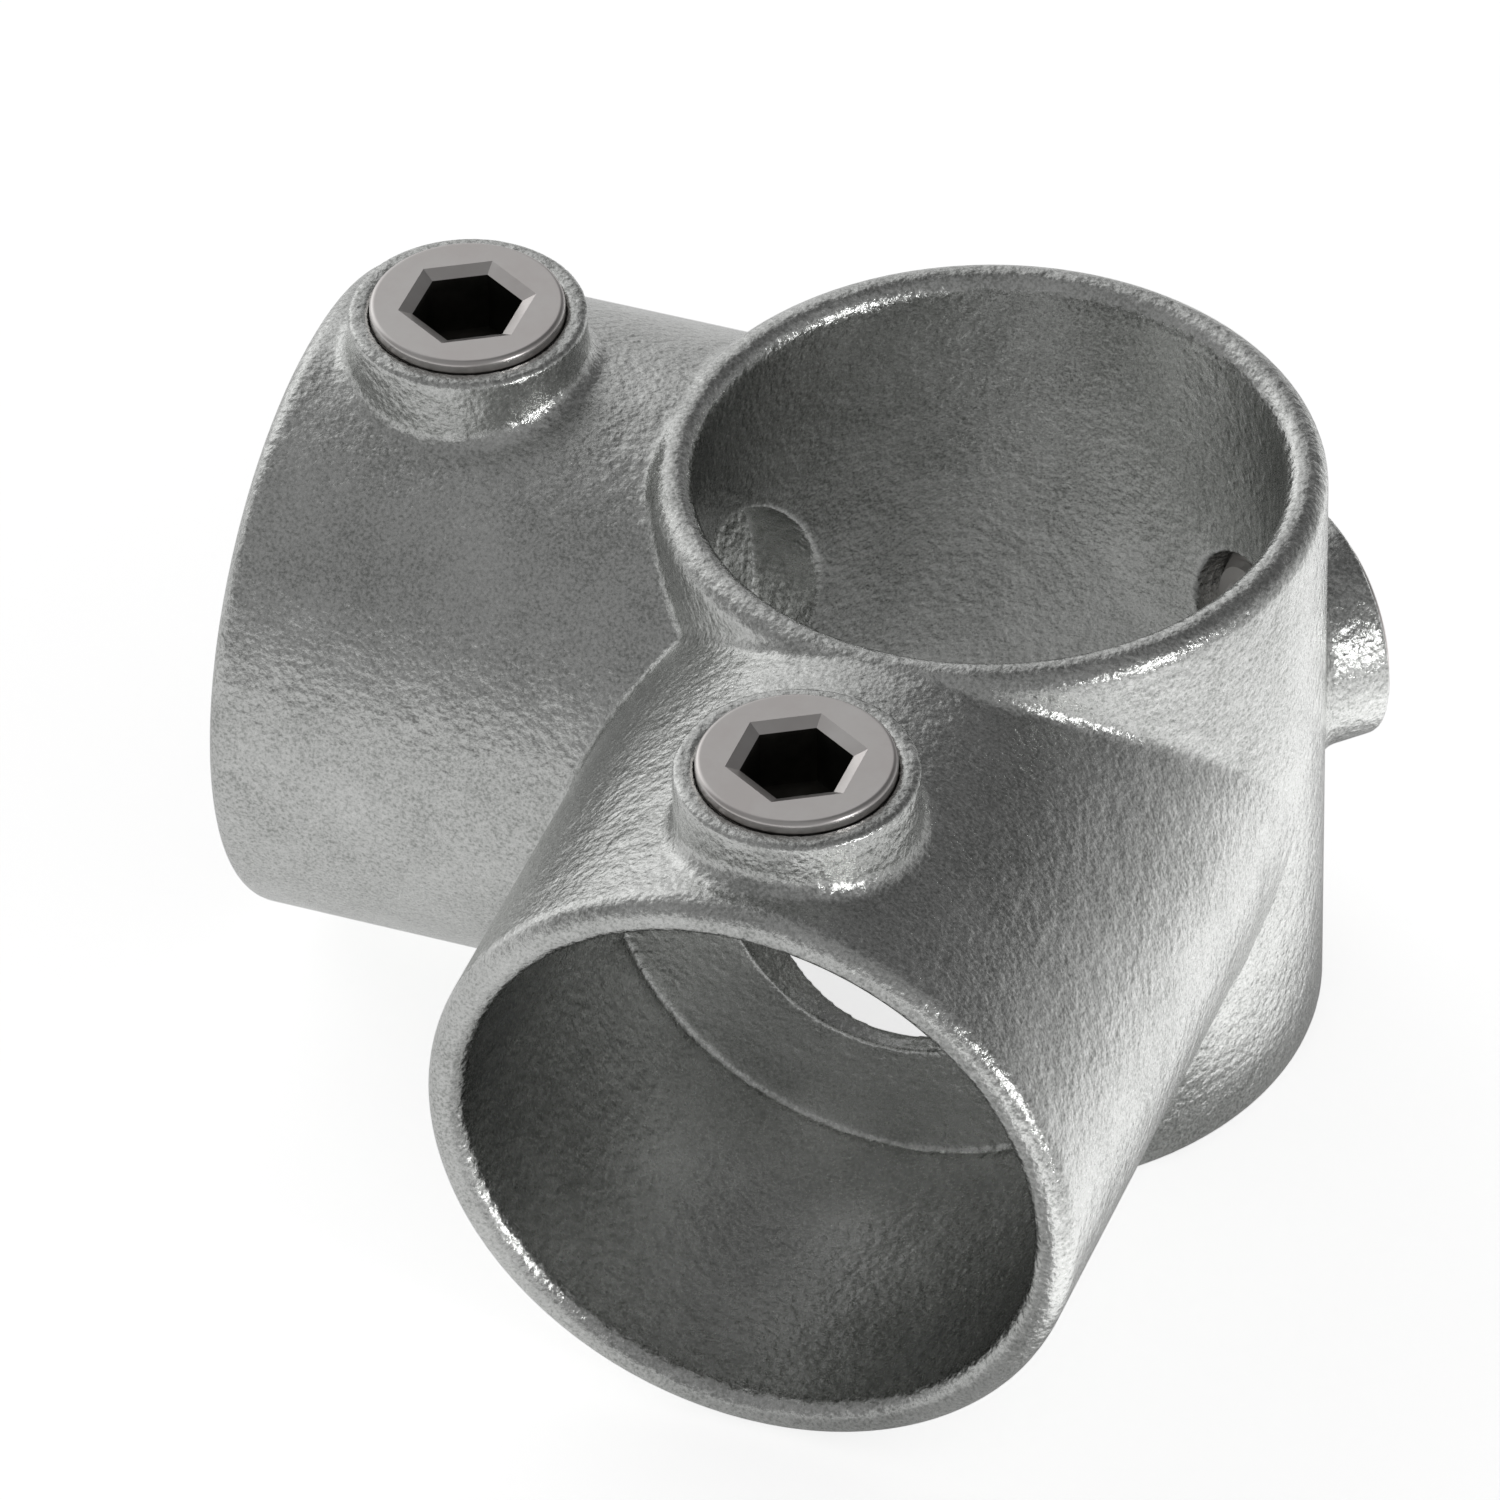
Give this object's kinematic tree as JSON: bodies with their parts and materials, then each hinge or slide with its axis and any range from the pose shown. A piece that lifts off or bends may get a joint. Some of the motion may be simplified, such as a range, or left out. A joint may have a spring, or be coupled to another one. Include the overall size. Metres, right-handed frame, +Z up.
{
  "type": "corner tube clamp",
  "caption": "Cast corner clamp for three round tubes at right angles, one passing through and two ending in sockets, each held by a set screw.",
  "frame": {"origin": "where the axes of the three tubes meet, at mid-height of the upright sleeve", "axes": "+Z up along the upright tube; the left socket opens along -X and the front socket along -Y"},
  "size_m": [0.0915, 0.0915, 0.0626],
  "materials": {
    "galvanised_casting": "hot-dip galvanised, semi-gloss, fine casting grain",
    "zinc_plated_steel": "smooth satin zinc plating"
  },
  "bodies": {
    "casting": {"cast_body": "galvanised_casting"},
    "screw_upright": {"upright_screw": "zinc_plated_steel"},
    "screw_left": {"left_screw": "zinc_plated_steel"},
    "screw_front": {"front_screw": "zinc_plated_steel"}
  },
  "joints": [
    {"name": "upright_screw_travel", "type": "slide", "parent": "casting", "child": "screw_upright", "axis": [0.7071, 0.7071, 0], "range_m": [-0.0008, 0.005]},
    {"name": "left_screw_travel", "type": "slide", "parent": "casting", "child": "screw_left", "axis": [0, 0, 1], "range_m": [-0.0008, 0.005]},
    {"name": "front_screw_travel", "type": "slide", "parent": "casting", "child": "screw_front", "axis": [0, 0, 1], "range_m": [-0.0008, 0.005]}
  ]
}
